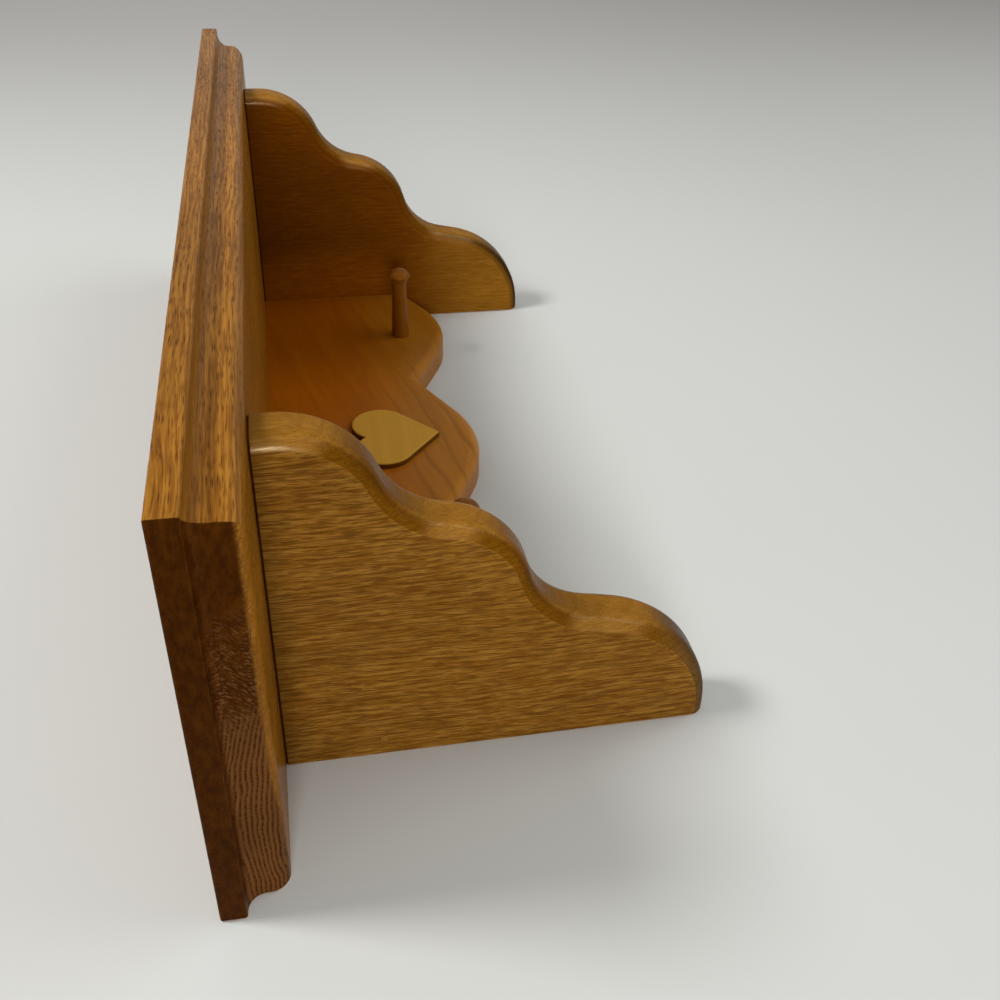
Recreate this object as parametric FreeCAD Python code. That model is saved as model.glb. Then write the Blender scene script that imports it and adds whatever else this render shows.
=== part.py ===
import FreeCAD, Part
import math
import os

# Country wall shelf: a moulded shelf board on two scrolled brackets, with a scalloped
# back board between them that carries a heart and two hanging pegs.
# Millimetres. X runs along the shelf, Y into the wall and Z up. The wall plane is Y = 0,
# and the origin lies on it, midway between the two keyholes that hang the shelf.

Vec = FreeCAD.Vector
INTO_WALL = Vec(0, 1, 0)
OUT_OF_WALL = Vec(0, -1, 0)
DOWN = Vec(0, 0, -1)
TOUCH = 1e-6

# Shelf board, moulded along its front and both ends
shelf_length = 406.0
shelf_depth = 126.0
shelf_thickness = 18.2
lip_height = 7.0
lip_step = 1.6
cove_radius = 5.0
bead_radius = 5.3
arris_radius = 0.8

# Brackets: three humps stepping back from the shelf to the wall
bracket_thickness = 16.0
bracket_drop = 128.4
bracket_setback = 14.5
shelf_overhang = 49.0
front_step_rise = 31.0
middle_shoulder_drop = 48.3
lower_shoulder_drop = 89.3
lower_shoulder_depth = 43.0
shoulder_slope = 11.5
hump_radius = 27.5
hollow_radius = 23.5
nose_radius = 39.5
least_straight = 1.0
round_over = 4.8
top_ease = 0.6

# Back board with three scallops along its lower edge, each a round foot between straight flanks
board_thickness = 12.0
centre_lobe_drop = 83.3
centre_lobe_radius = 52.0
side_lobe_drop = 83.3
side_lobe_radius = 50.0
side_lobe_offset = 100.0
lobe_flank_slope = 25.5
board_round_over = 4.0

# Heart glued to the middle of the back board
heart_thickness = 2.4
heart_lobe_radius = 11.7
heart_lobe_spacing = 18.6
heart_lobe_drop = 44.3
heart_tip_drop = 67.5
heart_round_over = 0.8

# Turned pegs glued into blind holes in the back board
peg_spacing = 186.0
peg_drop = 62.4
peg_reach = 33.4
peg_tenon_diameter = 6.4
peg_tenon_length = 9.0
peg_shaft_diameter = 8.0
peg_neck_diameter = 6.4
peg_head_diameter = 10.2
peg_head_height = 3.6
peg_flare_height = 5.0
glue_clearance = 0.05

# Finish nails, set below the surface and filled
nail_length = 38.0
nail_diameter = 1.4
nail_head_diameter = 2.0
nail_head_height = 1.0
nail_point_length = 1.8
nail_tip_diameter = 0.35
nail_set_depth = 1.6
nail_clearance = 0.05
bracket_nail_drops = (28.8, 52.8)
shelf_nail_setbacks = (32.0, 84.0)
board_nail_offsets = (-62.0, 0.0, 62.0)

# Keyholes in the back of the back board
keyhole_spacing = 203.0
keyhole_drop = 40.8
keyhole_diameter = 9.5
keyhole_neck_width = 5.0
keyhole_neck_depth = 3.0
keyhole_depth = 8.0
keyhole_travel = 12.0

# Places that follow from the sizes above
underside = keyhole_drop
shelf_top = underside + shelf_thickness
bracket_outer = shelf_length / 2 - shelf_overhang
bracket_inner = bracket_outer - bracket_thickness
bracket_middle = bracket_outer - bracket_thickness / 2
bracket_depth = shelf_depth - bracket_setback
board_middle = -board_thickness / 2
set_hole_depth = nail_set_depth + nail_head_height


def line(start, end):
    return Part.LineSegment(start, end).toShape()


def arc(start, middle, end):
    return Part.Arc(start, middle, end).toShape()


def solid_from(edges, travel):
    """The prism that a closed chain of edges sweeps along a vector."""
    return Part.Face(Part.Wire(edges)).extrude(travel)


def moulding(place):
    """One moulded edge from the top face to the underside; place(inset, height) puts a point."""
    diagonal = math.sqrt(0.5)
    top = shelf_thickness
    lip = top - lip_height
    arris = arris_radius
    cove_end = lip_step + cove_radius
    bead_end = cove_end + bead_radius
    arris_bulge = arris * (1 - diagonal)
    bead_bulge = bead_radius * (1 - diagonal)
    cove_middle = place(lip_step + cove_radius * diagonal, lip - cove_radius * (1 - diagonal))
    return [
        arc(place(arris, top), place(arris_bulge, top - arris_bulge), place(0, top - arris)),
        line(place(0, top - arris), place(0, lip + arris)),
        arc(place(0, lip + arris), place(arris_bulge, lip + arris_bulge), place(arris, lip)),
        line(place(arris, lip), place(lip_step, lip)),
        arc(place(lip_step, lip), cove_middle, place(cove_end, lip - cove_radius)),
        line(place(cove_end, lip - cove_radius), place(cove_end, bead_radius)),
        arc(place(cove_end, bead_radius), place(cove_end + bead_bulge, bead_bulge), place(bead_end, 0)),
    ]


def ends_of(edges):
    """The first and last point of a chain of edges, in the order they were drawn."""
    return edges[0].firstVertex(True).Point, edges[-1].lastVertex(True).Point


def make_shelf_board():
    """Two moulded prisms crossed, which mitres the moulding at the front corners."""
    half = shelf_length / 2

    def front(inset, height):
        return Vec(-half, inset - shelf_depth, underside + height)

    def left(inset, height):
        return Vec(inset - half, -shelf_depth, underside + height)

    def right(inset, height):
        return Vec(half - inset, -shelf_depth, underside + height)

    front_edge = moulding(front)
    front_top, front_low = ends_of(front_edge)
    back_top = Vec(-half, 0, shelf_top)
    back_low = Vec(-half, 0, underside)
    side_view = front_edge + [line(front_low, back_low), line(back_low, back_top), line(back_top, front_top)]
    left_edge = moulding(left)
    right_edge = moulding(right)
    left_top, left_low = ends_of(left_edge)
    right_top, right_low = ends_of(right_edge)
    front_view = left_edge + right_edge + [line(left_low, right_low), line(right_top, left_top)]
    along = solid_from(side_view, Vec(shelf_length, 0, 0))
    across = solid_from(Part.sortEdges(front_view)[0], Vec(0, shelf_depth, 0))
    return along.common(across)


class Outline:
    """A chain of tangent lines and arcs on a bracket's face; heading 0 runs straight down."""

    def __init__(self, x, depth, drop):
        self.x = x
        self.depth = depth
        self.drop = drop
        self.heading = 0.0
        self.edges = []

    def point(self, depth, drop):
        return Vec(self.x, -depth, underside - drop)

    def go(self, depth, drop, middle=None):
        """Draw to a point, straight or through the middle of an arc."""
        start = self.point(self.depth, self.drop)
        end = self.point(depth, drop)
        self.edges.append(arc(start, self.point(*middle), end) if middle else line(start, end))
        self.depth = depth
        self.drop = drop

    def straight(self, length):
        depth = self.depth - length * math.sin(self.heading)
        self.go(depth, self.drop + length * math.cos(self.heading))

    def turn(self, radius, heading):
        """An arc to a new heading: towards the wall is a hump, away from it a hollow."""
        side = math.copysign(radius, heading - self.heading)
        centre_depth = self.depth - side * math.cos(self.heading)
        centre_drop = self.drop - side * math.sin(self.heading)

        def at(angle):
            return centre_depth + side * math.cos(angle), centre_drop + side * math.sin(angle)

        self.go(*at(heading), middle=at((self.heading + heading) / 2))
        self.heading = heading

    def step_to(self, depth, drop, heading):
        """A shoulder, a hump and a hollow that end at a point with a given heading."""
        rise = self.depth - depth
        run = drop - self.drop
        across = rise * math.cos(self.heading) - run * math.sin(self.heading)
        along = run * math.cos(self.heading) + rise * math.sin(self.heading)
        both = hump_radius + hollow_radius
        change = heading - self.heading
        swing = math.acos((hump_radius + hollow_radius * math.cos(change) - across) / both)
        self.straight(along - both * math.sin(swing) + hollow_radius * math.sin(change))
        self.turn(hump_radius, self.heading + swing)
        self.turn(hollow_radius, heading)

    def nose_to_wall(self):
        """The last hump, rounded as far as its two sides allow, then straight to the wall."""
        side = (bracket_drop - self.drop) / math.cos(self.heading)
        foot = self.depth - side * math.sin(self.heading)
        share = math.tan((math.pi / 2 - self.heading) / 2)
        room = min(side, foot) - least_straight
        radius = min(nose_radius, room / share)
        self.straight(side - radius * share)
        self.turn(radius, math.pi / 2)
        self.straight(self.depth)


def make_bracket(x):
    """A bracket from x to x plus its thickness, rounded over along both scrolled edges."""
    slope = math.radians(shoulder_slope)
    scroll = Outline(x, bracket_depth, 0.0)
    scroll.step_to(bracket_depth - front_step_rise, middle_shoulder_drop, slope)
    scroll.step_to(lower_shoulder_depth, lower_shoulder_drop, slope)
    scroll.nose_to_wall()
    foot = scroll.point(0, bracket_drop)
    head = scroll.point(0, 0)
    front = scroll.point(bracket_depth, 0)
    blank = solid_from(scroll.edges + [line(foot, head), line(head, front)], Vec(bracket_thickness, 0, 0))
    rounded = blank.makeFillet(round_over, scrolled_arrises(blank))
    return rounded.makeChamfer(top_ease, top_arrises(rounded))


def scrolled_arrises(blank):
    """The long edges of a bracket blank, without those on the wall and under the shelf."""
    chosen = []
    for edge in blank.Edges:
        box = edge.BoundBox
        if box.XLength > TOUCH:
            continue
        if box.YMin > -TOUCH or box.ZMin > underside - TOUCH:
            continue
        chosen.append(edge)
    return chosen


def top_arrises(bracket):
    """The edges round the face that meets the shelf, without the one on the wall."""
    chosen = []
    for edge in bracket.Edges:
        box = edge.BoundBox
        if box.ZMin > underside - TOUCH and box.YMin < -TOUCH:
            chosen.append(edge)
    return chosen


def scallop(centre_x, lowest, radius, left, right):
    """One scallop of the back board between two upright cuts, rounded over along its front edge."""
    slope = math.radians(lobe_flank_slope)
    foot = radius * math.sin(slope)
    foot_drop = lowest - radius * (1 - math.cos(slope))
    reach = max(right - centre_x, centre_x - left, foot) + board_thickness
    flank_drop = foot_drop - (reach - foot) * math.tan(slope)

    def at(offset, drop):
        return Vec(centre_x + offset, 0, underside - drop)

    blank = solid_from([
        line(at(-reach, 0), at(-reach, flank_drop)),
        line(at(-reach, flank_drop), at(-foot, foot_drop)),
        arc(at(-foot, foot_drop), at(0, lowest), at(foot, foot_drop)),
        line(at(foot, foot_drop), at(reach, flank_drop)),
        line(at(reach, flank_drop), at(reach, 0)),
        line(at(reach, 0), at(-reach, 0)),
    ], OUT_OF_WALL * board_thickness)
    front_rim = []
    for edge in blank.Edges:
        box = edge.BoundBox
        in_front = box.YMax < -board_thickness + TOUCH
        if in_front and box.XLength > TOUCH and box.ZMax < underside - TOUCH:
            front_rim.append(edge)
    rounded = blank.makeFillet(board_round_over, front_rim)
    corner = Vec(left, -board_thickness, underside - lowest)
    return rounded.common(Part.makeBox(right - left, board_thickness, lowest, corner))


def flank_meeting(drop, radius):
    """How far under the shelf the two flanks of a scallop would meet without its round foot."""
    return drop + radius * (1 / math.cos(math.radians(lobe_flank_slope)) - 1)


def notch_offset():
    """How far from the middle the flanks of the centre and side scallops cross."""
    centre = flank_meeting(centre_lobe_drop, centre_lobe_radius)
    side = flank_meeting(side_lobe_drop, side_lobe_radius)
    return side_lobe_offset / 2 + (centre - side) / (2 * math.tan(math.radians(lobe_flank_slope)))


def make_back_board():
    notch = notch_offset()
    board = scallop(0, centre_lobe_drop, centre_lobe_radius, -notch, notch)
    right = scallop(side_lobe_offset, side_lobe_drop, side_lobe_radius, notch, bracket_inner)
    left = right.mirror(Vec(0, 0, 0), Vec(1, 0, 0))
    return board.fuse([left, right]).removeSplitter()


def make_half_heart():
    """The right half: a round lobe, then a straight side that leaves it tangent to the tip."""
    reach = heart_lobe_spacing / 2
    radius = heart_lobe_radius
    face = -board_thickness
    centre_z = underside - heart_lobe_drop
    tip_z = underside - heart_tip_drop
    to_centre = math.hypot(reach, centre_z - tip_z)
    tangent = math.sqrt(to_centre ** 2 - radius ** 2)
    lean = math.atan2(reach, centre_z - tip_z) + math.asin(radius / to_centre)
    cleft_angle = math.acos(-reach / radius)

    def rim(angle):
        return Vec(reach + radius * math.cos(angle), face, centre_z + radius * math.sin(angle))

    cleft = rim(cleft_angle)
    tip = Vec(0, face, tip_z)
    side = Vec(tangent * math.sin(lean), face, tip_z + tangent * math.cos(lean))
    side_angle = math.atan2(side.z - centre_z, side.x - reach)
    lobe = arc(cleft, rim((cleft_angle + side_angle) / 2), side)
    half = solid_from([lobe, line(side, tip), line(tip, cleft)], OUT_OF_WALL * heart_thickness)
    front = face - heart_thickness + TOUCH
    rim_edges = [edge for edge in half.Edges if edge.BoundBox.YMax < front and edge.BoundBox.XMax > TOUCH]
    return half.makeFillet(heart_round_over, rim_edges)


def make_heart():
    half = make_half_heart()
    return half.fuse(half.mirror(Vec(0, 0, 0), Vec(1, 0, 0))).removeSplitter()


def make_peg(x):
    """A turned peg: tenon, tapered shaft, flare under the head and a low domed cap."""
    z = underside - peg_drop
    tenon = peg_tenon_diameter / 2
    shaft = peg_shaft_diameter / 2
    neck = peg_neck_diameter / 2
    head = peg_head_diameter / 2
    rim = peg_reach - peg_head_height
    flare = rim - peg_flare_height
    spread = head - neck
    flare_radius = (spread ** 2 + peg_flare_height ** 2) / (2 * spread)
    half_flare = math.asin(peg_flare_height / flare_radius) / 2
    dome_radius = (head ** 2 + peg_head_height ** 2) / (2 * peg_head_height)
    dome_centre = peg_reach - dome_radius
    half_dome = math.atan2(head, rim - dome_centre) / 2

    def at(radius, reach):
        return Vec(x + radius, -board_thickness - reach, z)

    flare_bulge = flare_radius * (1 - math.cos(half_flare))
    flare_middle = at(neck + flare_bulge, flare + flare_radius * math.sin(half_flare))
    dome_middle = at(dome_radius * math.sin(half_dome), dome_centre + dome_radius * math.cos(half_dome))
    profile = [
        line(at(0, -peg_tenon_length), at(tenon, -peg_tenon_length)),
        line(at(tenon, -peg_tenon_length), at(tenon, 0)),
        line(at(tenon, 0), at(shaft, 0)),
        line(at(shaft, 0), at(neck, flare)),
        arc(at(neck, flare), flare_middle, at(head, rim)),
        arc(at(head, rim), dome_middle, at(0, peg_reach)),
        line(at(0, peg_reach), at(0, -peg_tenon_length)),
    ]
    return Part.Face(Part.Wire(profile)).revolve(Vec(x, 0, z), INTO_WALL, 360)


def peg_hole(x):
    mouth = Vec(x, -board_thickness, underside - peg_drop)
    return Part.makeCylinder(peg_tenon_diameter / 2 + glue_clearance, peg_tenon_length, mouth, INTO_WALL)


def make_nail(place):
    """A finish nail whose head lies under the filler at the surface point."""
    start, way = place
    head_top = start + way * nail_set_depth
    shank_top = start + way * set_hole_depth
    shank_length = nail_length - nail_head_height - nail_point_length
    shank_end = shank_top + way * shank_length
    head = Part.makeCylinder(nail_head_diameter / 2, nail_head_height, head_top, way)
    shank = Part.makeCylinder(nail_diameter / 2, shank_length, shank_top, way)
    point = Part.makeCone(nail_diameter / 2, nail_tip_diameter / 2, nail_point_length, shank_end, way)
    return head.fuse([shank, point]).removeSplitter()


def nail_hole(place):
    """The set hole for the head and the filler, and the pilot hole for the shank."""
    start, way = place
    set_hole = Part.makeCylinder(nail_head_diameter / 2 + nail_clearance, set_hole_depth, start, way)
    pilot_length = nail_set_depth + nail_length
    return set_hole.fuse(Part.makeCylinder(nail_diameter / 2 + nail_clearance, pilot_length, start, way))


def make_filler(place):
    start, way = place
    return Part.makeCylinder(nail_head_diameter / 2, nail_set_depth, start, way)


def keyhole(x):
    """Round entry, narrow neck and the wide channel behind it, opening on the wall side."""
    radius = keyhole_diameter / 2
    neck = keyhole_neck_width / 2
    entry = Vec(x, 0, 0)
    top = Vec(x, 0, keyhole_travel)
    inner = OUT_OF_WALL * keyhole_neck_depth
    channel_depth = keyhole_depth - keyhole_neck_depth
    neck_slot = Part.makeBox(2 * neck, keyhole_depth, keyhole_travel, Vec(x - neck, -keyhole_depth, 0))
    channel = Part.makeBox(2 * radius, channel_depth, keyhole_travel, Vec(x - radius, -keyhole_depth, 0))
    return Part.makeCylinder(radius, keyhole_depth, entry, OUT_OF_WALL).fuse([
        neck_slot,
        Part.makeCylinder(neck, keyhole_depth, top, OUT_OF_WALL),
        channel,
        Part.makeCylinder(radius, channel_depth, top + inner, OUT_OF_WALL),
    ])


def bracket_nails(side):
    """Nails through a bracket into the end of the back board; side is -1 left, 1 right."""
    way = Vec(-side, 0, 0)
    return [(Vec(side * bracket_outer, board_middle, underside - drop), way) for drop in bracket_nail_drops]


def shelf_nails(side):
    """Nails through the shelf down into the top of a bracket."""
    return [(Vec(side * bracket_middle, -setback, shelf_top), DOWN) for setback in shelf_nail_setbacks]


def board_nails():
    """Nails through the shelf down into the top edge of the back board."""
    return [(Vec(offset, board_middle, shelf_top), DOWN) for offset in board_nail_offsets]


def save(name, solids):
    shape = solids[0] if len(solids) == 1 else Part.makeCompound(solids)
    shape.exportStep("parts/" + name + ".step")
    print(name, len(shape.Solids), "solids, valid", shape.isValid(), "volume", round(shape.Volume, 1))


def main():
    os.makedirs("parts", exist_ok=True)
    nails_left = bracket_nails(-1)
    nails_right = bracket_nails(1)
    shelf_left = shelf_nails(-1)
    shelf_right = shelf_nails(1)
    board_top = board_nails()
    shelf_all = shelf_left + shelf_right + board_top
    pegs = {"left_peg": -peg_spacing / 2, "right_peg": peg_spacing / 2}

    shelf = make_shelf_board().cut([nail_hole(nail) for nail in shelf_all])
    save("shelf_board", [shelf])
    left = make_bracket(-bracket_outer).cut([nail_hole(nail) for nail in nails_left + shelf_left])
    save("left_bracket", [left])
    right = make_bracket(bracket_inner).cut([nail_hole(nail) for nail in nails_right + shelf_right])
    save("right_bracket", [right])

    cuts = [nail_hole(nail) for nail in nails_left + nails_right + board_top]
    cuts += [peg_hole(x) for x in pegs.values()]
    cuts += [keyhole(side * keyhole_spacing / 2) for side in (-1, 1)]
    save("back_board", [make_back_board().cut(cuts)])
    save("heart_applique", [make_heart()])
    for name, x in pegs.items():
        save(name, [make_peg(x)])

    save("left_bracket_nails", [make_nail(nail) for nail in nails_left])
    save("right_bracket_nails", [make_nail(nail) for nail in nails_right])
    save("left_shelf_nails", [make_nail(nail) for nail in shelf_left])
    save("right_shelf_nails", [make_nail(nail) for nail in shelf_right])
    save("back_board_nails", [make_nail(nail) for nail in board_top])
    save("left_bracket_fillers", [make_filler(nail) for nail in nails_left])
    save("right_bracket_fillers", [make_filler(nail) for nail in nails_right])
    save("shelf_fillers", [make_filler(nail) for nail in shelf_all])


main()
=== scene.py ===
import bpy
import math
from mathutils import Matrix, Vector


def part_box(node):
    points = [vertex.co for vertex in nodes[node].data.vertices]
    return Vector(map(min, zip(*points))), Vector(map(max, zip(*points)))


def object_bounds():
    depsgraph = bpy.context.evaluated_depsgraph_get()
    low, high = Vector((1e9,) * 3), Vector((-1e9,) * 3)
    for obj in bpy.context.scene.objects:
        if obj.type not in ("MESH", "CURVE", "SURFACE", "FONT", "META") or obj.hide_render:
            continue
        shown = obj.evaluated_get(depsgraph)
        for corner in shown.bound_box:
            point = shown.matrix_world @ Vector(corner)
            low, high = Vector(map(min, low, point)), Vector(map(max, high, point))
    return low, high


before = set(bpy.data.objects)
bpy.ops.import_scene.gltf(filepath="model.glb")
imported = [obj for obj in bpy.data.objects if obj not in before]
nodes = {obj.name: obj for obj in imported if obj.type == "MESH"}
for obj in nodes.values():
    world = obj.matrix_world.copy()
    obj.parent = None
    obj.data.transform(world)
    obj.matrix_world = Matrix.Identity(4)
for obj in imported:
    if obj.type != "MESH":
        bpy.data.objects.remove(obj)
cad_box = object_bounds()

# The shelf is shown as it hangs: X along the shelf, Y into the wall, Z up, in metres.
# The pale plane behind it is what it lies against, and the camera looks from its left end.
# Most pairs of numbers are the start and the end of a smooth change.

# Camera, as the photograph was taken
CAMERA_PLACE = Vector((-0.3785, -0.2497, 0.0274))
CAMERA_FORWARD = Vector((0.79997, 0.57559, -0.16955))
CAMERA_RIGHT = Vector((-0.18839, -0.02735, -0.98171))
FOCAL_IN_WIDTHS = 1.1004
SENSOR_MM = 36.0
NEAREST_SEEN = 0.01

# Floor: a plain pale plane, with places and distances in metres
FLOOR_GAP = 0.0005
FLOOR_SIZE = 6.0
FLOOR_CLOUDS = (5.0, 5.0, 5.0)
FLOOR_COLOUR = (0.595, 0.600, 0.575, 1.0)
FLOOR_SHADE = (0.570, 0.575, 0.550, 1.0)
# Painted shade on the floor: darker far along X and, by a factor, towards low Z
FLOOR_FAR_PAINTED_SHADE = (0.38, 0.37, 0.355, 1.0)
FLOOR_FADE = (0.10, 1.00)
FLOOR_LOW = (-0.45, -0.10)
FLOOR_LOW_PAINTED_SHADE = 0.90
FLOOR_ROUGHNESS = (0.85, 0.95)
FLOOR_CENTRE = (0.25, 0.0, -0.10)
FLOOR_ENDS = (1.0, 1.8)
SEE_THROUGH_REACH = 0.0008

# Surround: how bright it is where it is seen, in mirrors and as a light
WORLD_COLOUR = (0.60, 0.60, 0.585, 1.0)
WORLD_SEEN = 1.0
WORLD_MIRRORED = 0.7
WORLD_LIGHT = 0.55

# Lamps: place, size in metres and power in watts, all aimed at the middle of the shelf
LAMPS = {
    "key": (Vector((-0.04, -1.03, 0.92)), 0.35, 13.2),
    "fill": (Vector((0.0, -1.0, -1.0)), 1.20, 6.3),
    "side": (Vector((1.40, -0.60, 0.10)), 0.60, 2.6),
    "window": (Vector((-1.50, -0.45, 0.14)), 0.41, 10.6),
    "back": (Vector((0.30, 1.40, 0.50)), 0.80, 12.0),
}
LAMP_NOT_MIRRORED = "side"

# Grain directions, as turns that bring X along the grain
ALONG_X = (0.0, 0.0, 0.0)
ALONG_Z = (0.0, math.radians(90.0), 0.0)
ALONG_Y = (0.0, 0.0, math.radians(-90.0))
BOARD_SLOPE = (0.0, math.radians(12.0), 0.0)

# Any wood: how its grain wanders in millimetres, the usual range of noise, and its varnish
# The scales of noise in wood are per millimetre, along and across the grain
MM_PER_METRE = 1000.0
ACROSS_ONLY = (0.0, 1.0, 1.0)
GRAIN_DRIFT = (0.010, 0.03, 0.03)
GRAIN_WAVER = (0.0, 7.0, 7.0)
NOISE_MIDDLE = (0.5, 0.5, 0.5)
NOISE_RANGE = (0.3, 0.7)
VARNISH_TINT = (1.0, 0.78, 0.45, 1.0)
WOOD_SHINE = 0.12

# Oak: rings, strokes and pores in millimetres
# A row of strokes or pores has a length, a width, a share of the wood and a strength
SHELF_OAK = {
    "turn": ALONG_X,
    "seed": (0.0, 31.0, 7.0),
    "pith": (-60.0, -150.0),
    "ring": 1.45,
    "mottle": (0.03, 0.6, 0.6),
    "band": 0.35,
    "strokes": ((22.0, 0.80, 0.34, 0.55), (10.0, 0.50, 0.34, 0.45)),
    "pores": ((7.5, 0.60, 0.42, 0.80), (5.0, 0.42, 0.30, 0.60)),
    "pale": (0.318, 0.134, 0.015, 1.0),
    "honey": (0.228, 0.087, 0.008, 1.0),
    "brown": (0.135, 0.044, 0.004, 1.0),
    "pore": (0.075, 0.020, 0.002, 1.0),
}
BRACKET_OAK = {
    "turn": ALONG_Z,
    "seed": (11.0, 57.0, 3.0),
    "pith": (120.0, 170.0),
    "ring": 2.1,
    "mottle": (0.09, 0.35, 0.35),
    "band": 0.22,
    "strokes": ((8.5, 0.46, 0.38, 0.70), (5.0, 0.30, 0.38, 0.65)),
    "pores": ((5.0, 0.36, 0.30, 0.45),),
    "pale": (0.275, 0.129, 0.018, 1.0),
    "honey": (0.208, 0.083, 0.007, 1.0),
    "brown": (0.103, 0.036, 0.003, 1.0),
    "pore": (0.075, 0.023, 0.002, 1.0),
}
FAR_OAK = dict(BRACKET_OAK, seed=(83.0, 9.0, 41.0), pith=(120.0, -170.0))
EARLY_WOOD = (0.05, 0.50)
FINE_GRAIN = (0.10, 2.0, 2.0)
FINE_SHARE = 0.4
STREAKS = (0.40, 0.60)
CALM = 0.5
PATCHES = (0.012, 0.035, 0.035)
PATCH_SHADES = (0.88, 1.1)
STROKE_START = 0.69
STROKE_SPAN = 0.4
STROKE_BLUR = 0.06
STROKES_IN_EARLY = 0.06
PORE_SIDES = (0.12, 0.45)
PORE_BLUR = 0.12
PORES_IN_EARLY = 0.3
PORE_DULLNESS = 0.2
OAK_ROUGHNESS = (0.20, 0.32)
OAK_RELIEF = 0.0002
OAK_RELIEF_STRENGTH = 0.4
FINE_RELIEF = 0.4

# Shelf board: places in metres, facings from -1 to 1, shades and lifts as factors
SHELF_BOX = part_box("shelf_board")
UNDERSIDE = SHELF_BOX[0].z
LIP_HEIGHT = 0.0070
LIP = SHELF_BOX[1].z - LIP_HEIGHT
BELOW_LIP = (LIP - 0.0015, LIP + 0.0005)
CLOSE_TO_LIP = (LIP - 0.0025, LIP - 0.0010)
BEAD_TOP = (LIP - 0.003, LIP - 0.001)
BEAD_ROUND = 0.0040
ABOVE_BEAD_ROUND = (UNDERSIDE + BEAD_ROUND / 2, UNDERSIDE + BEAD_ROUND)
MOULDED_END = 0.0119
MOULDED_END_STOPS = (MOULDED_END - 0.0006, MOULDED_END)
MITRE = (-0.0002, 0.0002)
FACES_FRONT = (-0.5, -0.1)
FACES_BACK = (0.6, 0.9)
FACES_UP = (0.93, 0.99)
FACES_DOWN = (-0.95, -0.6)
FACES_PARTLY_DOWN = (-0.9, -0.3)
# Painted light on the front of the bead
BEAD_PAINTED_LIGHT = 1.32
UNDERSIDE_COLOUR = (0.238, 0.088, 0.006, 1.0)
UNDERSIDE_CALM = 0.6

# Ends of the shelf board: dark end grain, with growth lines from the middle to the wall
END_DARK = (0.034, 0.0082, 0.0005, 1.0)
END_MID = (0.063, 0.0180, 0.0010, 1.0)
END_PALE = (0.124, 0.049, 0.0135, 1.0)
END_FLECK = (0.240, 0.110, 0.040, 1.0)
END_MOTTLE = (0.3, 0.25, 0.6)
END_MOTTLE_RANGE = (0.30, 0.72)
END_LIP_SHADE = 0.90
END_COVE_SHADE = 1.08
# Painted light on the down-facing cove of the ends, close under the lip
UNDER_LIP_PAINTED_LIGHT = 1.3
END_LINES_FROM = (-0.072, -0.056)
END_LINES_PITH = (-22.0, -150.0)
END_LINES_SPACING = 1.15
END_LINE = (0.25, 0.65)
END_DOTS = (0.5, 1.3, 1.3)
END_DOTS_RANGE = (0.33, 0.58)
END_DOTS_LEAST = 0.4
END_FLECKS_START = (-0.102, -0.080)
END_FLECKS_STOP = (-0.066, -0.052)
END_HATCH = (math.radians(40.0), 0.0, 0.0)
END_SCUFFS = (1.0, 0.45, 2.6)
END_SCUFFS_RANGE = (0.50, 0.64)
END_SCUFFS_STRENGTH = 0.42
END_WORN = (0.4, 0.25, 0.8)
END_WORN_STRENGTH = 0.12
END_WEAR_TO_WALL = (-0.060, 0.000)
END_WEAR_MOST = 0.4
END_ROUND_FACES = (-0.74, -0.44)

# Brackets: places in metres, facings from -1 to 1, shades and lifts as factors
FLAT_FACE = (0.955, 0.99)
ROUND_OVER = (0.3, 0.6)
CUT_ACROSS = (0.25, 0.55)
LEAST_AROUND = 0.05
INNER_FACE = (-0.130, -0.090)
INNER_EDGE = (-0.12, 0.0)
OUTER_SIDE = (-0.05, 0.0)
BRACKET_END = ((0.130, 0.049, 0.005, 1.0), (0.095, 0.033, 0.003, 1.0))
BRACKET_END_RANGE = (0.35, 0.65)
BRACKET_END_FROM = (0.40, 0.95)
EDGE_LIFT = 1.25
# Painted shade on the bracket edges beside the shelf
BESIDE_SHELF = (0.026, 0.038)
BESIDE_SHELF_PAINTED_SHADE = 0.78
# Painted shade on the inner edges by the nose
NOSE_BELOW = (-0.058, -0.030)
NOSE_EDGE_PAINTED_SHADE = 0.45
NOSE_END = (-0.081, -0.063)
NOSE_END_TINT = (0.42, 0.47, 0.95)
HOLLOW_TINT = (0.52, 0.45, 0.20)
# Painted shade on the inner faces, with painted light on the nose and by the wall
INNER_PAINTED_SHADE_ABOVE = (-0.066, -0.025)
INNER_PAINTED_SHADE_TINT = (0.56, 0.36, 0.07)
NOSE_PAINTED_LIGHT_TINT = (1.19, 1.12, 0.80)
BY_WALL = (-0.045, -0.012)
BY_WALL_ABOVE = (-0.065, 0.030)
BY_WALL_PAINTED_LIGHT = 1.7
# A dark line where the bracket meets the shelf: partly its own dark seam, partly painted shade in the gap
JOINT_REACH = 0.0003
JOINT = (UNDERSIDE - JOINT_REACH, UNDERSIDE - JOINT_REACH / 2)
JOINT_LINE_AND_SHADE_COLOUR = (0.075, 0.015, 0.004, 1.0)

# Shine of the oak: edges, flat faces, rounded humps, and the shelf's dull ends and underside
EDGE_SHINE = 0.02
FLAT_SHINE = 0.07
ROUND_SHINE = 0.45
DULL_SHINE = 0.02

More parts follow.
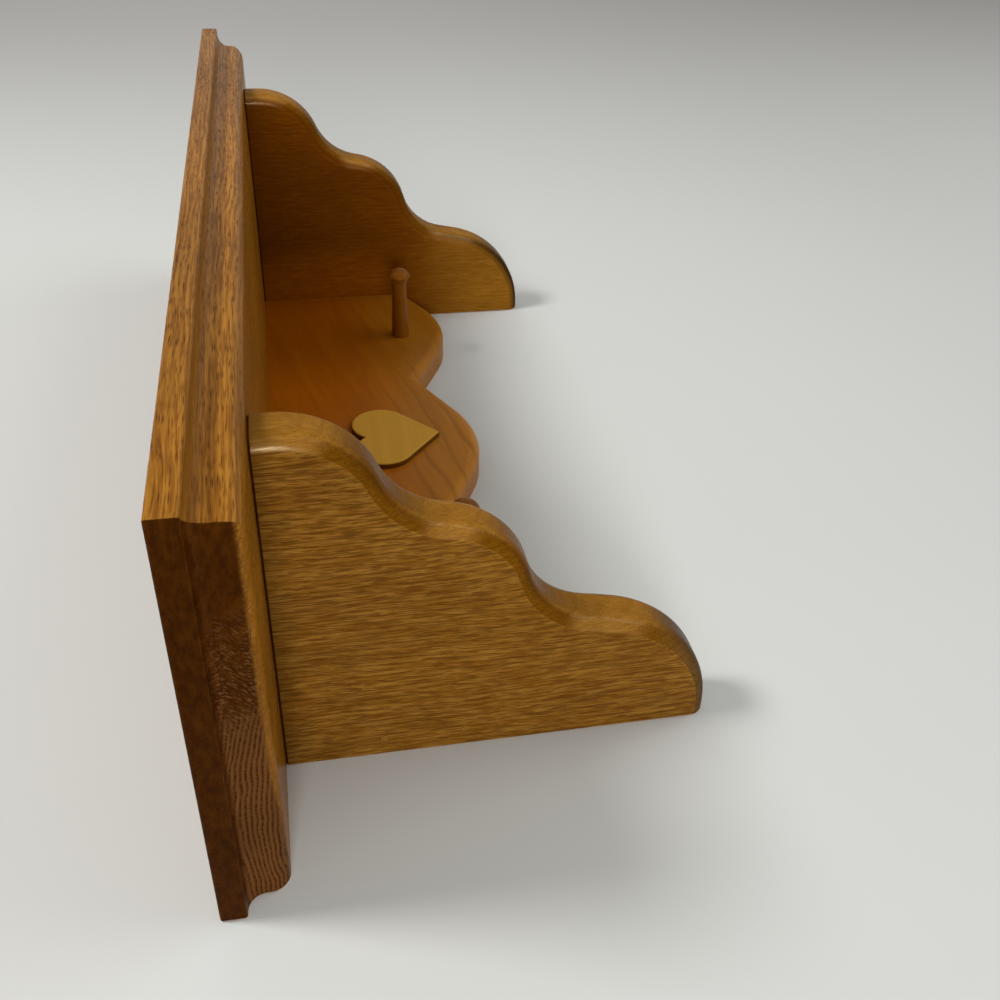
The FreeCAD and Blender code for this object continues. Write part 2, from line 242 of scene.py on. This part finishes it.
# Plain woods
BOARD_WOOD = {
    "turn": BOARD_SLOPE,
    "seed": (5.0, 21.0, 13.0),
    "pale": (0.315, 0.116, 0.007, 1.0),
    "dark": (0.265, 0.092, 0.005, 1.0),
}
HEART_WOOD = {
    "turn": ALONG_X,
    "seed": (71.0, 5.0, 19.0),
    "pale": (0.63, 0.322, 0.033, 1.0),
    "dark": (0.59, 0.298, 0.029, 1.0),
}
PEG_WOOD = {
    "turn": ALONG_Y,
    "seed": (2.0, 44.0, 8.0),
    "pale": (0.24, 0.080, 0.005, 1.0),
    "dark": (0.17, 0.051, 0.0025, 1.0),
}
PLAIN_BROAD = (0.015, 0.22, 0.22)
PLAIN_FINE = (0.06, 2.4, 2.4)
PLAIN_FINE_SHARE = 0.3
PLAIN_STREAKS = (0.33, 0.67)
PLAIN_ROUGHNESS = (0.28, 0.38)
PLAIN_RELIEF = 0.0001
PLAIN_RELIEF_STRENGTH = 0.25

# Back board: heights and distances from its middle in metres, growth lines in millimetres
BOARD_FRONT = (-0.3, 0.3)
# Painted shade on the front of the board towards the shelf
BOARD_PAINTED_SHADE_ABOVE = (-0.030, 0.010)
BOARD_PAINTED_SHADE_TINT = (0.92, 0.63, 0.05)
# Painted light on the middle of the board
BOARD_CENTRE = (0.040, 0.085)
CENTRE_PAINTED_LIGHT_TINT = (1.42, 1.48, 2.40)
GROWTH_LINE = (0.130, 0.045, 0.005, 1.0)
GROWTH_LINE_SPACING = 8.0
GROWTH_LINE_START = (0.60, 0.94)
GROWTH_LINE_STOP = (0.95, 1.0)
GROWTH_LINES_BELOW = (-0.022, 0.004)
GROWTH_LINES_STRENGTH = (0.32, 0.04)
GROWTH_WAVES = (0.02, 0.09, 0.09)
GROWTH_WAVE_HEIGHT = 9.0

# Heart and pegs
HEART_FACE = (0.35, 0.75)
# Painted shade on the heart's rim
HEART_RIM_PAINTED_SHADE = (0.150, 0.055, 0.005, 1.0)
PEG_END = (0.5, 0.95)
PEG_SHADES = (0.90, 0.85)

# Nails and filler, with noise scales per metre
STEEL_SCRATCHES = (9000.0, 9000.0, 9000.0)
STEEL_COLOURS = ((0.42, 0.42, 0.43, 1.0), (0.56, 0.56, 0.57, 1.0))
STEEL_ROUGHNESS = (0.28, 0.45)
FILLER_SPECKS = (2500.0, 2500.0, 2500.0)
FILLER_SPECKS_RANGE = (0.35, 0.65)
FILLER_COLOURS = ((0.16, 0.066, 0.007, 1.0), (0.30, 0.146, 0.022, 1.0))
FILLER_ROUGHNESS = (0.5, 0.65)
FILLER_RELIEF = 0.0001
FILLER_RELIEF_STRENGTH = 0.4

# Sockets of a mix node that are for colours: factor and two inputs, and the result
MIX_INPUTS = (0, 6, 7)
MIX_RESULT = 2


class Graph:
    """A material's nodes, with a short call for each kind that the finishes use."""

    def __init__(self, name):
        self.material = bpy.data.materials.new(name)
        self.material.use_nodes = True
        self.tree = self.material.node_tree
        self.shader = self.tree.nodes["Principled BSDF"]

    def feed(self, socket, value):
        if isinstance(value, bpy.types.NodeSocket):
            self.tree.links.new(value, socket)
        else:
            socket.default_value = value

    def node(self, kind, sockets, **settings):
        made = self.tree.nodes.new(kind)
        for name, value in settings.items():
            setattr(made, name, value)
        for key, value in sockets.items():
            self.feed(made.inputs[key], value)
        return made

    def math(self, operation, first, second=0.0):
        return self.node("ShaderNodeMath", {0: first, 1: second}, operation=operation).outputs[0]

    def times(self, first, *others):
        for other in others:
            first = self.math("MULTIPLY", first, other)
        return first

    def either(self, first, second):
        """The stronger of two masks."""
        return self.math("MAXIMUM", first, second)

    def outside(self, mask):
        """1 where a mask is 0, and 0 where it is 1."""
        return self.math("SUBTRACT", 1.0, mask)

    def mixed(self, first, second, share):
        """Two numbers mixed, with the second one's share."""
        return self.math("ADD", self.times(first, 1.0 - share), self.times(second, share))

    def step(self, value, low, high, start=0.0, end=1.0):
        """Start below low, end above high and a smooth change between them."""
        sockets = {"Value": value, "From Min": low, "From Max": high, "To Min": start, "To Max": end}
        return self.node("ShaderNodeMapRange", sockets, interpolation_type="SMOOTHSTEP").outputs[0]

    def fall(self, value, low, high):
        """1 below low, 0 above high and a smooth change between them."""
        return self.step(value, low, high, 1.0, 0.0)

    def pick(self, mask, off, on):
        """One number where a mask is 0 and another where it is 1."""
        return self.step(mask, 0.0, 1.0, off, on)

    def spread(self, noise, start, end):
        """The usual range of noise, stretched from start to end."""
        return self.step(noise, *NOISE_RANGE, start, end)

    def vector(self, operation, first, second):
        return self.node("ShaderNodeVectorMath", {0: first, 1: second}, operation=operation).outputs[0]

    def length(self, vector):
        return self.node("ShaderNodeVectorMath", {0: vector}, operation="LENGTH").outputs["Value"]

    def part(self, vector, axis):
        return self.node("ShaderNodeSeparateXYZ", {0: vector}).outputs[axis]

    def turned(self, vector, turn, scale=1.0):
        sockets = {"Vector": vector, "Rotation": turn, "Scale": (scale,) * 3}
        return self.node("ShaderNodeMapping", sockets).outputs[0]

    def blend(self, factor, first, second):
        """From the first colour at a factor of 0 to the second at 1."""
        made = self.node("ShaderNodeMix", {}, data_type="RGBA")
        for index, value in zip(MIX_INPUTS, (factor, first, second)):
            self.feed(made.inputs[index], value)
        return made.outputs[MIX_RESULT]

    def shade(self, colour, amount):
        """A colour made darker or lighter by a factor."""
        sockets = {0: colour, "Scale": amount}
        return self.node("ShaderNodeVectorMath", sockets, operation="SCALE").outputs[0]

    def tint(self, colour, tint):
        """A colour with its red, green and blue each changed by a factor."""
        return self.vector("MULTIPLY", colour, tint)

    def noise_node(self, vector, scale, detail=2.0, roughness=0.5):
        scaled = self.vector("MULTIPLY", vector, scale)
        sockets = {"Vector": scaled, "Scale": 1.0, "Detail": detail, "Roughness": roughness}
        return self.node("ShaderNodeTexNoise", sockets)

    def noise(self, vector, scale, **settings):
        return self.noise_node(vector, scale, **settings).outputs[0]

    def cells(self, vector, scale):
        scaled = self.vector("MULTIPLY", vector, scale)
        return self.node("ShaderNodeTexVoronoi", {"Vector": scaled, "Scale": 1.0})

    def coordinates(self):
        return self.node("ShaderNodeTexCoord", {})

    def point(self):
        """Each point's place in the shelf's own frame, in metres."""
        return self.coordinates().outputs["Object"]

    def bump(self, height, distance, strength):
        sockets = {"Height": height, "Distance": distance, "Strength": strength}
        self.feed(self.shader.inputs["Normal"], self.node("ShaderNodeBump", sockets).outputs[0])

    def finish(self, colour, roughness, **others):
        """Feed the shader's colour and roughness, and its other sockets by their names."""
        self.feed(self.shader.inputs["Base Color"], colour)
        self.feed(self.shader.inputs["Roughness"], roughness)
        for name, value in others.items():
            self.feed(self.shader.inputs[name], value)
        return self.material


def varnish(shine):
    """The shader sockets of a clear warm varnish."""
    return {"Specular IOR Level": shine, "Specular Tint": VARNISH_TINT}


class Grain:
    """A piece of wood's own space in millimetres, with X along the grain, and its facing."""

    def __init__(self, graph, wood):
        self.graph = graph
        coordinates = graph.coordinates()
        self.point = coordinates.outputs["Object"]
        self.normal = coordinates.outputs["Normal"]
        self.place = graph.turned(self.point, wood["turn"], MM_PER_METRE)
        facing = graph.turned(self.normal, wood["turn"])
        self.endness = graph.math("ABSOLUTE", graph.part(facing, "X"))
        seeded = graph.vector("ADD", self.place, wood["seed"])
        drift = graph.noise_node(seeded, GRAIN_DRIFT, detail=3.0).outputs["Color"]
        wander = graph.vector("SUBTRACT", drift, NOISE_MIDDLE)
        self.wander = graph.vector("MULTIPLY", wander, GRAIN_WAVER)
        self.flow = graph.vector("ADD", seeded, self.wander)

    def along(self, axis):
        """A point's place along one of the shelf's own axes, in metres."""
        return self.graph.part(self.point, axis)

    def faces(self, axis):
        """How squarely a face looks along one of the shelf's own axes, from -1 to 1."""
        return self.graph.part(self.normal, axis)

    def rings(self, pith, spacing):
        """How far through a year's growth each point lies, from 0 at the coarse early wood to 1."""
        graph = self.graph
        across = graph.vector("MULTIPLY", self.place, ACROSS_ONLY)
        from_pith = graph.vector("SUBTRACT", across, (0.0, *pith))
        moved = graph.vector("ADD", from_pith, self.wander)
        return graph.math("FRACT", graph.math("DIVIDE", graph.length(moved), spacing))

    def pores(self, length, width, share, early):
        """Open vessels: dark dashes along the grain, closest together in the early wood."""
        graph = self.graph
        cells = graph.cells(self.flow, (1 / length, 1 / width, 1 / width))
        hollow = graph.fall(cells.outputs["Distance"], *PORE_SIDES)
        lot = graph.part(cells.outputs["Color"], "X")
        wanted = graph.math("ADD", lot, graph.times(early, PORES_IN_EARLY))
        start = 1.0 - share
        return graph.times(hollow, graph.step(wanted, start, start + PORE_BLUR))

    def strokes(self, length, width, share, early):
        """Thin dark streaks with sharp sides, more of them in the early wood."""
        graph = self.graph
        lot = graph.noise(self.flow, (1 / length, 1 / width, 1 / width), detail=1.0)
        wanted = graph.math("ADD", lot, graph.times(early, STROKES_IN_EARLY))
        start = STROKE_START - share * STROKE_SPAN
        return graph.step(wanted, start, start + STROKE_BLUR)


class Oak:
    """Varnished oak: long grain with streaks, rows of early wood, dark strokes and open pores."""

    def __init__(self, name, wood):
        graph = Graph(name)
        grain = Grain(graph, wood)
        self.graph = graph
        self.grain = grain
        self.fine = graph.noise(grain.flow, FINE_GRAIN, detail=3.0, roughness=0.6)
        broad = graph.noise(grain.flow, wood["mottle"], detail=3.0, roughness=0.6)
        streak = graph.step(graph.mixed(broad, self.fine, FINE_SHARE), *STREAKS)
        ground = graph.blend(streak, wood["pale"], wood["honey"])
        self.plain = [(pale + honey) / 2 for pale, honey in zip(wood["pale"], wood["honey"])]
        early = graph.fall(grain.rings(wood["pith"], wood["ring"]), *EARLY_WOOD)
        self.colour = graph.blend(graph.times(early, wood["band"]), ground, wood["brown"])
        for length, width, share, strength in wood["strokes"]:
            drawn = graph.times(grain.strokes(length, width, share, early), strength)
            self.colour = graph.blend(drawn, self.colour, wood["brown"])
        self.depth = 0.0
        for length, width, share, strength in wood["pores"]:
            dashes = graph.times(grain.pores(length, width, share, early), strength)
            self.colour = graph.blend(dashes, self.colour, wood["pore"])
            self.depth = graph.either(self.depth, dashes)

    def calmed(self):
        """The colour with half of its figure taken away, as on sanded wood."""
        return self.graph.blend(CALM, self.colour, self.plain)

    def finish(self, shine):
        """Close the finish: patches of tone, a relief of pores and a sheen."""
        graph = self.graph
        patches = graph.noise(self.grain.flow, PATCHES)
        colour = graph.shade(self.colour, graph.spread(patches, *PATCH_SHADES))
        relief = graph.math("SUBTRACT", graph.times(self.fine, FINE_RELIEF), self.depth)
        graph.bump(relief, OAK_RELIEF, OAK_RELIEF_STRENGTH)
        sheen = graph.spread(self.fine, *OAK_ROUGHNESS)
        roughness = graph.math("ADD", graph.times(self.depth, PORE_DULLNESS), sheen)
        return graph.finish(colour, roughness, **varnish(shine))


def outwards(grain):
    """Above 0 on a bracket's outer face, 0 on its edges and below 0 on its inner face."""
    return grain.graph.times(grain.along("X"), grain.faces("X"))


def bracket_edge(oak, flat, rounded, across):
    """A bracket's sanded edge: end grain where cut across, dark hollows, a darker nose end, and painted
    shade beside the shelf and on the inner edge by the nose.
    """
    graph = oak.graph
    grain = oak.grain
    height = grain.along("Z")
    end_grain = graph.blend(graph.step(oak.fine, *BRACKET_END_RANGE), *BRACKET_END)
    edge = graph.blend(graph.step(grain.endness, *BRACKET_END_FROM), oak.calmed(), end_grain)
    # Painted shade: inner edges darker by the nose
    inner_edge_painted_shade = graph.step(height, *NOSE_BELOW, NOSE_EDGE_PAINTED_SHADE, EDGE_LIFT)
    edge = graph.shade(edge, graph.step(outwards(grain), *INNER_EDGE, inner_edge_painted_shade, EDGE_LIFT))
    # Painted shade on the edges beside the shelf
    edge = graph.shade(edge, graph.step(height, *BESIDE_SHELF, 1.0, BESIDE_SHELF_PAINTED_SHADE))
    at_nose = graph.fall(height, *NOSE_END)
    hollow = graph.times(across, rounded, graph.outside(at_nose))
    nose_end = graph.times(across, at_nose, graph.outside(flat))
    edge = graph.blend(hollow, edge, graph.tint(edge, HOLLOW_TINT))
    return graph.blend(nose_end, edge, graph.tint(edge, NOSE_END_TINT))


def bracket_inside(oak):
    """A bracket's inner face: calm, darkened and reddened as painted shade, with painted light on the
    nose and by the wall.
    """
    graph = oak.graph
    grain = oak.grain
    height = grain.along("Z")
    calm = oak.calmed()
    # Painted shade over the inner face, painted light on the nose and by the wall
    nose = graph.tint(calm, NOSE_PAINTED_LIGHT_TINT)
    painted_shade = graph.tint(calm, INNER_PAINTED_SHADE_TINT)
    inside = graph.blend(graph.step(height, *INNER_PAINTED_SHADE_ABOVE), nose, painted_shade)
    by_wall = graph.step(grain.along("Y"), *BY_WALL)
    wall_painted_light = graph.times(by_wall, graph.step(height, *BY_WALL_ABOVE, 0.0, BY_WALL_PAINTED_LIGHT))
    return graph.shade(inside, graph.math("ADD", 1.0, wall_painted_light))


def bracket_oak(name, wood):
    """A bracket: striped outer face, sanded edges, painted shade on the inner face and a dark line under
    the shelf, partly painted shade.
    """
    oak = Oak(name, wood)
    graph = oak.graph
    grain = oak.grain
    sideways = graph.math("ABSOLUTE", grain.faces("X"))
    flat = graph.step(sideways, *FLAT_FACE)
    rounded = graph.times(graph.step(sideways, *ROUND_OVER), graph.outside(flat))
    around = graph.math("SQRT", graph.outside(graph.times(sideways, sideways)))
    slope = graph.math("DIVIDE", grain.endness, graph.math("MAXIMUM", around, LEAST_AROUND))
    across = graph.step(slope, *CUT_ACROSS)
    oak.colour = graph.blend(flat, bracket_edge(oak, flat, rounded, across), oak.colour)
    inner = graph.fall(outwards(grain), *INNER_FACE)
    oak.colour = graph.blend(inner, oak.colour, bracket_inside(oak))
    # A dark line on the outer face under the shelf: partly its own dark seam, partly painted shade in the
    # gap
    seam_and_shade = graph.times(graph.step(grain.along("Z"), *JOINT), graph.step(outwards(grain), *OUTER_SIDE))
    oak.colour = graph.blend(seam_and_shade, oak.colour, JOINT_LINE_AND_SHADE_COLOUR)
    ground_shine = graph.step(sideways, *FLAT_FACE, EDGE_SHINE, FLAT_SHINE)
    hump_shine = graph.times(rounded, graph.outside(across), ROUND_SHINE)
    return oak.finish(graph.math("MAXIMUM", ground_shine, hump_shine))


def shelf_end_mask(grain):
    """1 on both moulded ends of the shelf board, from the mitres to the wall."""
    graph = grain.graph
    depth = grain.along("Y")
    rise = grain.faces("Z")
    from_end = graph.math("SUBTRACT", SHELF_BOX[1].x, graph.math("ABSOLUTE", grain.along("X")))
    from_front = graph.math("SUBTRACT", depth, SHELF_BOX[0].y)
    beyond_mitre = graph.step(graph.math("SUBTRACT", from_front, from_end), *MITRE)
    moulded = graph.fall(from_end, *MOULDED_END_STOPS)
    worn = graph.times(graph.noise(grain.flow, END_WORN, detail=3.0, roughness=0.6), END_WORN_STRENGTH)
    wear = graph.math("ADD", worn, graph.step(depth, *END_WEAR_TO_WALL, 0.0, END_WEAR_MOST))
    rounded = graph.step(graph.math("ADD", rise, wear), *END_ROUND_FACES)
    not_below = graph.either(rounded, graph.step(grain.along("Z"), *ABOVE_BEAD_ROUND))
    not_top = graph.fall(rise, *FACES_UP)
    not_back = graph.fall(grain.faces("Y"), *FACES_BACK)
    return graph.times(beyond_mitre, moulded, not_below, not_top, not_back)


def shelf_end_grain(grain):
    """The dark end grain of the shelf board, with pale growth lines, a scuffed patch and painted light in
    the cove under the lip.
    """
    graph = grain.graph
    depth = grain.along("Y")
    height = grain.along("Z")
    mottle = graph.noise(grain.flow, END_MOTTLE, detail=4.0, roughness=0.65)
    colour = graph.blend(graph.step(mottle, *END_MOTTLE_RANGE), END_DARK, END_MID)
    below_lip = graph.fall(height, *BELOW_LIP)
    colour = graph.shade(colour, graph.pick(below_lip, END_LIP_SHADE, END_COVE_SHADE))

    dots = graph.step(graph.noise(grain.flow, END_DOTS), *END_DOTS_RANGE, END_DOTS_LEAST, 1.0)
    lines = graph.fall(grain.rings(END_LINES_PITH, END_LINES_SPACING), *END_LINE)
    late = graph.outside(graph.times(lines, dots))
    pale = graph.times(late, below_lip, graph.step(depth, *END_LINES_FROM))
    colour = graph.blend(pale, colour, END_PALE)

    slanted = graph.turned(grain.flow, END_HATCH)
    hatch = graph.noise(slanted, END_SCUFFS, detail=3.0, roughness=0.65)
    scuffs = graph.step(hatch, *END_SCUFFS_RANGE)
    patch = graph.times(graph.step(depth, *END_FLECKS_START), graph.fall(depth, *END_FLECKS_STOP))
    colour = graph.blend(graph.times(scuffs, patch, below_lip, END_SCUFFS_STRENGTH), colour, END_FLECK)

    # Painted light where the cove faces down close under the lip
    under_lip = graph.fall(grain.faces("Z"), *FACES_PARTLY_DOWN)
    painted_light_under_lip = graph.times(graph.step(height, *CLOSE_TO_LIP), under_lip)
    return graph.shade(colour, graph.pick(painted_light_under_lip, 1.0, UNDER_LIP_PAINTED_LIGHT))


def shelf_oak(name):
    """The shelf board: dashed long grain, a bead lightened as painted light, a calm underside and dark
    moulded ends.
    """
    oak = Oak(name, SHELF_OAK)
    graph = oak.graph
    grain = oak.grain
    # Painted light: the front of the bead made lighter
    front = graph.fall(grain.faces("Y"), *FACES_FRONT)
    on_bead = graph.times(front, graph.fall(grain.along("Z"), *BEAD_TOP))
    oak.colour = graph.shade(oak.colour, graph.pick(on_bead, 1.0, BEAD_PAINTED_LIGHT))
    below = graph.fall(grain.faces("Z"), *FACES_DOWN)
    oak.colour = graph.blend(graph.times(below, UNDERSIDE_CALM), oak.colour, UNDERSIDE_COLOUR)
    end = shelf_end_mask(grain)
    oak.colour = graph.blend(end, oak.colour, shelf_end_grain(grain))
    return oak.finish(graph.pick(graph.either(end, below), FLAT_SHINE, DULL_SHINE))


def plain_wood(name, wood, change):
    """Close-grained varnished wood with soft long streaks; change(graph, grain, colour) adds to it."""
    graph = Graph(name)
    grain = Grain(graph, wood)
    broad = graph.noise(grain.flow, PLAIN_BROAD, detail=3.0, roughness=0.55)
    fine = graph.noise(grain.flow, PLAIN_FINE, detail=3.0, roughness=0.6)
    streak = graph.step(graph.mixed(broad, fine, PLAIN_FINE_SHARE), *PLAIN_STREAKS)
    colour = change(graph, grain, graph.blend(streak, wood["pale"], wood["dark"]))
    graph.bump(fine, PLAIN_RELIEF, PLAIN_RELIEF_STRENGTH)
    return graph.finish(colour, graph.spread(fine, *PLAIN_ROUGHNESS), **varnish(WOOD_SHINE))


def board_grain(graph, grain, colour):
    """The front of the back board: a middle lightened as painted light, soft growth lines, and painted
    shade, redder and darker, towards the shelf.
    """
    height = grain.along("Z")
    waves = graph.times(graph.noise(grain.flow, GROWTH_WAVES), GROWTH_WAVE_HEIGHT)
    moved = graph.math("ADD", graph.part(grain.flow, "Z"), waves)
    year = graph.math("FRACT", graph.math("DIVIDE", moved, GROWTH_LINE_SPACING))
    growth = graph.times(graph.step(year, *GROWTH_LINE_START), graph.fall(year, *GROWTH_LINE_STOP))
    front = graph.fall(grain.faces("Y"), *BOARD_FRONT)
    from_middle = graph.math("ABSOLUTE", grain.along("X"))
    central = graph.times(front, graph.fall(from_middle, *BOARD_CENTRE))
    strength = graph.step(height, *GROWTH_LINES_BELOW, *GROWTH_LINES_STRENGTH)
    # Painted light on the middle of the board
    colour = graph.blend(central, colour, graph.tint(colour, CENTRE_PAINTED_LIGHT_TINT))
    colour = graph.blend(graph.times(growth, central, strength), colour, GROWTH_LINE)
    # Painted shade on the front towards the shelf
    painted_shade = graph.times(front, graph.step(height, *BOARD_PAINTED_SHADE_ABOVE))
    return graph.blend(painted_shade, colour, graph.tint(colour, BOARD_PAINTED_SHADE_TINT))


def heart_rim(graph, grain, colour):
    """The heart's rim is much darker than its face, as painted shade."""
    facing = graph.math("ABSOLUTE", grain.faces("Y"))
    return graph.blend(graph.step(facing, *HEART_FACE), HEART_RIM_PAINTED_SHADE, colour)


def peg_head(graph, grain, colour):
    """A peg's end is a little darker than its turned sides."""
    return graph.shade(colour, graph.step(grain.endness, *PEG_END, *PEG_SHADES))


def steel(name):
    """Drawn nail wire with fine scratches."""
    graph = Graph(name)
    scratches = graph.noise(graph.point(), STEEL_SCRATCHES, detail=3.0)
    colour = graph.blend(scratches, *STEEL_COLOURS)
    return graph.finish(colour, graph.spread(scratches, *STEEL_ROUGHNESS), Metallic=1.0)


def filler(name):
    """Wood filler in a nail hole: dull and finely speckled."""
    graph = Graph(name)
    specks = graph.noise(graph.point(), FILLER_SPECKS)
    colour = graph.blend(graph.step(specks, *FILLER_SPECKS_RANGE), *FILLER_COLOURS)
    graph.bump(specks, FILLER_RELIEF, FILLER_RELIEF_STRENGTH)
    return graph.finish(colour, graph.spread(specks, *FILLER_ROUGHNESS), **varnish(WOOD_SHINE))


def floor_finish(name):
    """Pale and matt, with painted shade far along X and towards low Z, seen from the front only, and
    fading out far from the shelf.
    """
    graph = Graph(name)
    point = graph.point()
    cloud = graph.noise(point, FLOOR_CLOUDS, detail=3.0)
    near = graph.blend(cloud, FLOOR_COLOUR, FLOOR_SHADE)
    # Painted shade: the floor darker towards low Z and far along X
    near = graph.shade(near, graph.step(graph.part(point, "Z"), *FLOOR_LOW, FLOOR_LOW_PAINTED_SHADE, 1.0))
    colour = graph.blend(graph.step(graph.part(point, "X"), *FLOOR_FADE), near, FLOOR_FAR_PAINTED_SHADE)
    graph.finish(colour, graph.spread(cloud, *FLOOR_ROUGHNESS))

    # Clear far away, from behind, and to rays from the shelf's own back, so that lamps reach it
    far = graph.step(graph.length(graph.vector("SUBTRACT", point, FLOOR_CENTRE)), *FLOOR_ENDS)
    behind = graph.node("ShaderNodeNewGeometry", {}).outputs["Backfacing"]
    reach = graph.node("ShaderNodeLightPath", {}).outputs["Ray Length"]
    close = graph.math("LESS_THAN", reach, SEE_THROUGH_REACH)
    clear = graph.either(far, graph.either(behind, close))
    glass = graph.node("ShaderNodeBsdfTransparent", {}).outputs[0]
    mixed = graph.node("ShaderNodeMixShader", {0: clear, 1: graph.shader.outputs[0], 2: glass}).outputs[0]
    graph.feed(graph.tree.nodes["Material Output"].inputs["Surface"], mixed)
    return graph.material


def dress():
    """Give every node of the shelf its finish."""
    finishes = {
        "shelf_board": shelf_oak("oak_shelf_finish"),
        "left_bracket": bracket_oak("oak_left_bracket_finish", BRACKET_OAK),
        "right_bracket": bracket_oak("oak_right_bracket_finish", FAR_OAK),
        "back_board": plain_wood("back_board_finish", BOARD_WOOD, board_grain),
        "heart_applique": plain_wood("heart_finish", HEART_WOOD, heart_rim),
    }
    shared = {
        "peg": plain_wood("peg_finish", PEG_WOOD, peg_head),
        "nails": steel("nail_finish"),
        "fillers": filler("filler_finish"),
    }
    for name, node in nodes.items():
        kind = name.rsplit("_", 1)[1]
        finish = shared[kind] if kind in shared else finishes[name]
        for slot in node.material_slots:
            slot.material = finish


def link(thing):
    bpy.context.scene.collection.objects.link(thing)
    return thing


def make_camera():
    data = bpy.data.cameras.new("camera")
    data.sensor_width = SENSOR_MM
    data.lens = FOCAL_IN_WIDTHS * SENSOR_MM
    data.clip_start = NEAREST_SEEN
    back = -CAMERA_FORWARD.normalized()
    up = back.cross(CAMERA_RIGHT).normalized()
    right = up.cross(back)
    turn = Matrix((right, up, back)).transposed().to_4x4()
    camera = link(bpy.data.objects.new("camera", data))
    camera.matrix_world = Matrix.Translation(CAMERA_PLACE) @ turn
    bpy.context.scene.camera = camera


def make_floor():
    """The pale plane that the shelf's back lies against, facing the shelf."""
    half = FLOOR_SIZE / 2
    corners = [(x * half, FLOOR_GAP, z * half) for x, z in ((-1, -1), (1, -1), (1, 1), (-1, 1))]
    mesh = bpy.data.meshes.new("floor")
    mesh.from_pydata(corners, [], [(0, 1, 2, 3)])
    mesh.materials.append(floor_finish("floor_finish"))
    link(bpy.data.objects.new("floor", mesh))


def make_lamps():
    middle = (cad_box[0] + cad_box[1]) / 2
    for name, (place, size, power) in LAMPS.items():
        data = bpy.data.lights.new(name, "AREA")
        data.shape = "DISK"
        data.size = size
        data.energy = power
        lamp = link(bpy.data.objects.new(name, data))
        lamp.location = place
        lamp.rotation_euler = (middle - place).to_track_quat("-Z", "Y").to_euler()
        lamp.visible_camera = False
        lamp.visible_glossy = name != LAMP_NOT_MIRRORED


def make_world():
    """A pale surround that is bright where it is seen, less bright in mirrors and dim as a light."""
    world = bpy.data.worlds.new("studio")
    world.use_nodes = True
    tree = world.node_tree
    path = tree.nodes.new("ShaderNodeLightPath")
    surround = tree.nodes["Background"]
    surround.inputs["Color"].default_value = WORLD_COLOUR
    surround.inputs["Strength"].default_value = WORLD_LIGHT
    levels = (
        ("Is Glossy Ray", WORLD_MIRRORED),
        ("Is Transmission Ray", WORLD_SEEN),
        ("Is Camera Ray", WORLD_SEEN),
    )
    for ray, level in levels:
        seen = tree.nodes.new("ShaderNodeBackground")
        seen.inputs["Color"].default_value = WORLD_COLOUR
        seen.inputs["Strength"].default_value = level
        mix = tree.nodes.new("ShaderNodeMixShader")
        tree.links.new(path.outputs[ray], mix.inputs[0])
        tree.links.new(surround.outputs[0], mix.inputs[1])
        tree.links.new(seen.outputs[0], mix.inputs[2])
        surround = mix
    tree.links.new(surround.outputs[0], tree.nodes["World Output"].inputs["Surface"])
    bpy.context.scene.world = world


dress()
make_camera()
make_floor()
make_lamps()
make_world()
bpy.context.scene.view_settings.view_transform = "Standard"
